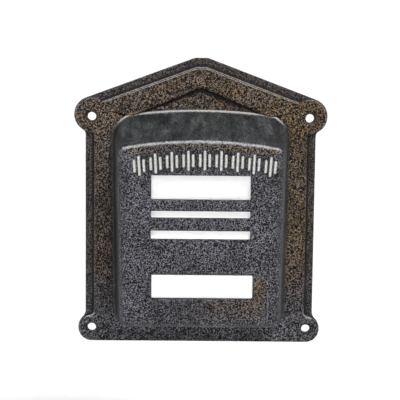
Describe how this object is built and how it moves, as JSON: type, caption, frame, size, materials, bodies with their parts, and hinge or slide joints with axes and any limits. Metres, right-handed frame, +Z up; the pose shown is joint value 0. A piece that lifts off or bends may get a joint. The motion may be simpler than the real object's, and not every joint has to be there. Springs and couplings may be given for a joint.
{
  "type": "door intercom panel",
  "caption": "House-shaped cast intercom front with a deep hood, card window, sound slots and a call bar, and its audio module inside.",
  "frame": {"origin": "on the wall plane, midway between the two lower screw holes, at the back of the wall gasket", "axes": "+X to the visitor's right, +Y into the wall, so the front faces -Y, +Z up"},
  "size_m": [0.1758, 0.0479, 0.1998],
  "materials": {
    "hammered_casting": "hammered black and silver paint with a bronze tint, on sand-cast aluminium",
    "black_rubber": "matte moulded rubber",
    "clear_lens": "clear polycarbonate, glossy",
    "white_card": "plain white card",
    "opal_acrylic": "opal, translucent",
    "white_cloth": "fine woven acoustic cloth",
    "white_button": "satin white moulding",
    "grey_moulding": "fine-textured grey moulding",
    "black_moulding": "satin black moulding",
    "green_moulding": "satin green moulding",
    "blue_moulding": "satin blue moulding",
    "zinc_steel": "bright zinc plating",
    "spring_steel": "drawn wire",
    "ferrite": "dark sintered ferrite",
    "paper_cone": "matte black pressed paper",
    "copper_winding": "enamelled copper wire",
    "green_laminate": "green solder mask on glass-fibre laminate"
  },
  "bodies": {
    "root": {"front_casting": "hammered_casting", "wall_gasket": "black_rubber", "name_card_lens": "clear_lens", "name_card": "white_card", "light_diffuser": "opal_acrylic", "speaker_cloth": "white_cloth", "module_frame": "grey_moulding", "back_cover": "grey_moulding", "cable_grommet": "black_rubber", "speaker_basket": "zinc_steel", "speaker_surround": "black_rubber", "speaker_cone": "paper_cone", "voice_coil": "copper_winding", "speaker_magnet": "ferrite", "microphone": "zinc_steel", "microphone_boot": "black_rubber", "circuit_board": "green_laminate", "switch_body": "black_moulding", "amplifier_chip": "black_moulding", "volume_trimmer": "blue_moulding", "terminal_block": "green_moulding", "button_spring_left": "spring_steel", "button_spring_right": "spring_steel", "module_screw_1": "zinc_steel", "module_screw_2": "zinc_steel", "module_screw_3": "zinc_steel", "module_screw_4": "zinc_steel", "cover_screw_1": "zinc_steel", "cover_screw_2": "zinc_steel", "cover_screw_3": "zinc_steel", "cover_screw_4": "zinc_steel", "board_screw_1": "zinc_steel", "board_screw_2": "zinc_steel", "board_screw_3": "zinc_steel", "board_screw_4": "zinc_steel", "clip_screw_1": "zinc_steel", "clip_screw_2": "zinc_steel", "clip_screw_3": "zinc_steel", "terminal_screw_1": "zinc_steel", "terminal_screw_2": "zinc_steel", "terminal_screw_3": "zinc_steel", "terminal_screw_4": "zinc_steel", "speaker_clip_1": "zinc_steel", "speaker_clip_2": "zinc_steel", "speaker_clip_3": "zinc_steel", "backlight_led_1": "opal_acrylic", "backlight_led_2": "opal_acrylic", "backlight_led_3": "opal_acrylic", "capacitor_1": "black_moulding", "capacitor_2": "black_moulding", "capacitor_3": "black_moulding"},
    "call_button": {"call_button": "white_button"},
    "switch_plunger": {"switch_plunger": "white_button"},
    "volume_rotor": {"volume_rotor": "white_button"}
  },
  "joints": [
    {"name": "call_press", "type": "slide", "parent": "root", "child": "call_button", "axis": [0, 1, 0], "range_m": [0, 0.0015], "stiffness_N_per_m": 600, "springref_m": -0.002, "deforming": ["button_spring_left", "button_spring_right"]},
    {"name": "plunger_press", "type": "slide", "parent": "root", "child": "switch_plunger", "axis": [0, 1, 0], "range_m": [0, 0.0015]},
    {"name": "volume_turn", "type": "hinge", "parent": "root", "child": "volume_rotor", "pos_m": [0.024, -0.0148, 0.06], "axis": [0, 1, 0], "range_deg": [-135, 135]}
  ],
  "couplings": [
    {"joint": "plunger_press", "follows": "call_press", "ratio": 1}
  ]
}
